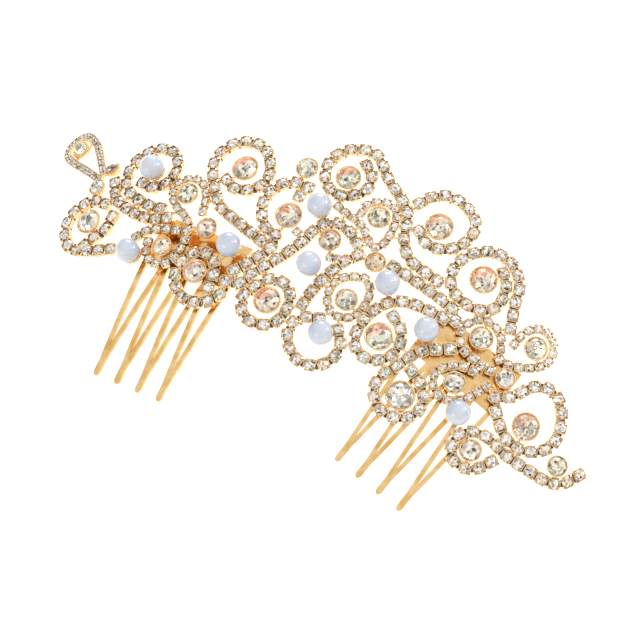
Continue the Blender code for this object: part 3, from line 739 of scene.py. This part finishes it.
def ramp(nodes, links, source, stops, constant=False):
    made = nodes.new("ShaderNodeValToRGB")
    made.color_ramp.interpolation = "CONSTANT" if constant else "LINEAR"
    while len(made.color_ramp.elements) < len(stops):
        made.color_ramp.elements.new(1.0)
    for element, (position, colour) in zip(made.color_ramp.elements, stops):
        element.position = position
        element.color = colour
    links.new(source, made.inputs["Fac"])
    return made.outputs["Color"]


def bump(nodes, links, source, shader, strength, distance):
    made = nodes.new("ShaderNodeBump")
    made.inputs["Strength"].default_value = strength
    made.inputs["Distance"].default_value = distance
    links.new(source, made.inputs["Height"])
    links.new(made.outputs["Normal"], shader.inputs["Normal"])


def gold_material(name, light, deep, roughness):
    """Polished plating: slow colour drift, fine polishing marks, slightly uneven gloss."""
    made, nodes, links, shader = start_material(name)
    drift = object_noise(nodes, links, 320.0, 2.0)
    colour = ramp(nodes, links, drift.outputs["Fac"], [(0.3, deep), (0.62, light)])
    links.new(colour, shader.inputs["Base Color"])
    marks = object_noise(nodes, links, 2600.0, 3.0)
    gloss = ramp(nodes, links, marks.outputs["Fac"], [(0.3, (roughness * 0.7,) * 3 + (1.0,)),
                                                       (0.75, (roughness * 1.5,) * 3 + (1.0,))])
    links.new(gloss, shader.inputs["Roughness"])
    shader.inputs["Metallic"].default_value = 1.0
    bump(nodes, links, marks.outputs["Fac"], shader, 0.25, 0.00003)
    return made


def gap_shade_material():
    """Painted shade for the gap between two cups: dark brown with a slow noise drift, where the piece is
    only in shadow.
    """
    made, nodes, links, shader = start_material("gap_shade")
    # painted shade: near-black brown, varied by a slow noise
    gap_shade_noise = object_noise(nodes, links, 900.0, 3.0)
    colour = ramp(nodes, links, gap_shade_noise.outputs["Fac"], [(0.35, (0.03, 0.018, 0.01, 1.0)),
                                                       (0.75, (0.26, 0.14, 0.05, 1.0))])
    links.new(colour, shader.inputs["Base Color"])
    shader.inputs["Metallic"].default_value = 0.4
    shader.inputs["Roughness"].default_value = 0.55
    return made


def crystal_material(name, cell, colours):
    """Foil-backed glass: small mirror-like cells under the facets, painted light, dark and gold as sparkle
    and reflections, tinted face by face.
    """
    made, nodes, links, shader = start_material(name)
    where = nodes.new("ShaderNodeTexCoord")
    cells = nodes.new("ShaderNodeTexVoronoi")
    cells.inputs["Scale"].default_value = 1.0 / (cell * MM)
    links.new(where.outputs["Object"], cells.inputs["Vector"])
    split = nodes.new("ShaderNodeSeparateColor")
    links.new(cells.outputs["Color"], split.inputs["Color"])
    # the cell colours are painted sparkle: near-white highlights and dark and gold reflections
    foil = ramp(nodes, links, split.outputs["Red"], colours, constant=True)
    tint = nodes.new("ShaderNodeVertexColor")
    tint.layer_name = "tint"
    mix = nodes.new("ShaderNodeMix")
    mix.data_type = "RGBA"
    mix.blend_type = "MULTIPLY"
    mix.inputs["Factor"].default_value = 1.0
    links.new(foil, mix.inputs["A"])
    links.new(tint.outputs["Color"], mix.inputs["B"])
    links.new(mix.outputs["Result"], shader.inputs["Base Color"])
    shader.inputs["Metallic"].default_value = 0.35
    shader.inputs["Roughness"].default_value = 0.1
    shader.inputs["IOR"].default_value = 1.56
    shader.inputs["Coat Weight"].default_value = 1.0
    shader.inputs["Coat Roughness"].default_value = 0.02
    bump(nodes, links, cells.outputs["Distance"], shader, 0.35, 0.0002)
    return made


def pearl_material():
    """Pearl lacquer: cool white with a faint warm and lilac drift under a soft coat."""
    made, nodes, links, shader = start_material("pearl")
    drift = object_noise(nodes, links, 240.0, 1.0)
    tones = [(0.3, (0.50, 0.57, 0.70, 1.0)), (0.5, (0.60, 0.65, 0.74, 1.0)),
             (0.75, (0.68, 0.67, 0.70, 1.0))]
    colour = ramp(nodes, links, drift.outputs["Fac"], tones)
    links.new(colour, shader.inputs["Base Color"])
    shader.inputs["Roughness"].default_value = 0.32
    shader.inputs["Subsurface Weight"].default_value = 0.15
    shader.inputs["Subsurface Scale"].default_value = 0.001
    shader.inputs["Coat Weight"].default_value = 1.0
    shader.inputs["Coat Roughness"].default_value = 0.08
    grain = object_noise(nodes, links, 4000.0, 1.0)
    bump(nodes, links, grain.outputs["Fac"], shader, 0.05, 0.00002)
    return made


def make_looks():
    # palettes of painted sparkle for the cells: near-white highlights, dark and gold reflections
    small_cells = [(0.0, (1.0, 0.97, 0.92, 1.0)), (0.34, (0.88, 0.84, 0.77, 1.0)),
                   (0.5, (1.0, 1.0, 1.0, 1.0)), (0.76, (1.0, 0.84, 0.64, 1.0)),
                   (0.87, (0.52, 0.42, 0.32, 1.0)), (0.95, (0.12, 0.08, 0.05, 1.0))]
    large_cells = [(0.0, (1.0, 0.97, 0.88, 1.0)), (0.3, (0.84, 0.82, 0.70, 1.0)),
                   (0.46, (1.0, 1.0, 0.97, 1.0)), (0.7, (1.0, 0.84, 0.62, 1.0)),
                   (0.83, (0.54, 0.48, 0.36, 1.0)), (0.94, (0.13, 0.10, 0.06, 1.0))]
    return {
        "gold": gold_material("gold", GOLD_LIGHT, GOLD_DEEP, 0.14),
        "comb_gold": gold_material("comb_gold", COMB_LIGHT, COMB_DEEP, 0.15),
        "gap_shade": gap_shade_material(),
        "crystal": crystal_material("crystal", 0.55, small_cells),
        "cut_crystal": crystal_material("cut_crystal", 0.6, large_cells),
        "pearl": pearl_material(),
    }


def finish_combs(nodes, looks):
    for name in ("comb_left", "comb_right"):
        comb = nodes[name]
        comb.data.materials.clear()
        comb.data.materials.append(looks["comb_gold"])
        rounding = comb.modifiers.new("Rounding", "BEVEL")
        rounding.width = 0.34 * MM
        rounding.segments = 4
        rounding.limit_method = "ANGLE"


def camera_axes():
    """Directions of the picture's right and up, and toward the camera, in the layout's frame."""
    x, y = math.sin(VIEW_TILT_X), -math.sin(VIEW_TILT_Y)
    toward = Vector((x, y, math.sqrt(1 - x * x - y * y)))
    level = (Vector((1, 0, 0)) - toward * toward.x).normalized()
    upright = toward.cross(level)
    right = math.cos(VIEW_TURN) * level + math.sin(VIEW_TURN) * upright
    up = -math.sin(VIEW_TURN) * level + math.cos(VIEW_TURN) * upright
    return right, up, toward


def add_camera():
    right, up, toward = camera_axes()
    turn = rest_turn()
    aim = right * VIEW_AIM[0] + up * VIEW_AIM[1]
    camera = bpy.data.objects.new("camera", bpy.data.cameras.new("camera"))
    camera.data.lens = LENS
    camera.data.sensor_width = SENSOR
    camera.data.clip_start = 0.01
    axes = Matrix((turn @ right, turn @ up, turn @ toward)).transposed().to_4x4()
    eye = (turn @ (aim + toward * VIEW_DISTANCE) + REST_PLACE) * MM
    camera.matrix_world = Matrix.Translation(eye) @ axes
    bpy.context.scene.collection.objects.link(camera)
    bpy.context.scene.camera = camera


def add_softbox(name, place, size, power):
    lamp = bpy.data.lights.new(name, "AREA")
    lamp.shape = "RECTANGLE"
    lamp.size, lamp.size_y = size
    lamp.energy = power
    box = bpy.data.objects.new(name, lamp)
    box.location = place
    box.rotation_euler = (-Vector(place)).to_track_quat("-Z", "Y").to_euler()
    box.visible_camera = False
    bpy.context.scene.collection.objects.link(box)


def add_stage():
    mesh = bpy.data.meshes.new("floor")
    mesh.from_pydata([(-3, -3, 0), (3, -3, 0), (3, 3, 0), (-3, 3, 0)], [], [(0, 1, 2, 3)])
    floor = bpy.data.objects.new("floor", mesh)
    surface, _, _, shader = start_material("floor")
    shader.inputs["Base Color"].default_value = (0.93, 0.93, 0.93, 1.0)
    shader.inputs["Roughness"].default_value = 0.9
    shader.inputs["Specular IOR Level"].default_value = 0.0
    shader.inputs["Emission Color"].default_value = (1.0, 1.0, 1.0, 1.0)
    shader.inputs["Emission Strength"].default_value = FLOOR_GLOW
    mesh.materials.append(surface)
    bpy.context.scene.collection.objects.link(floor)
    world = bpy.data.worlds.new("studio")
    world.use_nodes = True
    sky = world.node_tree.nodes["Background"]
    sky.inputs["Strength"].default_value = SKY_STRENGTH
    where = world.node_tree.nodes.new("ShaderNodeTexCoord")
    split = world.node_tree.nodes.new("ShaderNodeSeparateXYZ")
    world.node_tree.links.new(where.outputs["Generated"], split.inputs["Vector"])
    shade = ramp(world.node_tree.nodes, world.node_tree.links, split.outputs["Z"], SKY)
    world.node_tree.links.new(shade, sky.inputs["Color"])
    bpy.context.scene.world = world
    bpy.context.scene.view_settings.view_transform = "Standard"
    for name, place, size, power in SOFTBOXES:
        add_softbox(name, place, size, power)


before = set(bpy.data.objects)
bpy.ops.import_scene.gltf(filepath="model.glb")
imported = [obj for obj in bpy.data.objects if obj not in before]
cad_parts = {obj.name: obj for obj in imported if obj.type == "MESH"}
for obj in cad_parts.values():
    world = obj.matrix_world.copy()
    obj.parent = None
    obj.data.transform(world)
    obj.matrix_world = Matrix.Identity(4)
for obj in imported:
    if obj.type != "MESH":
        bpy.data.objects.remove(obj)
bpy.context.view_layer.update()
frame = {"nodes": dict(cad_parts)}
add_camera()
add_stage()
chance = random.Random(7)
looks = make_looks()
build_strands(looks, chance)
build_pave(looks, chance)
build_crystals(looks, chance)
build_pearls(looks)
build_solder(looks)
finish_combs(frame["nodes"], looks)
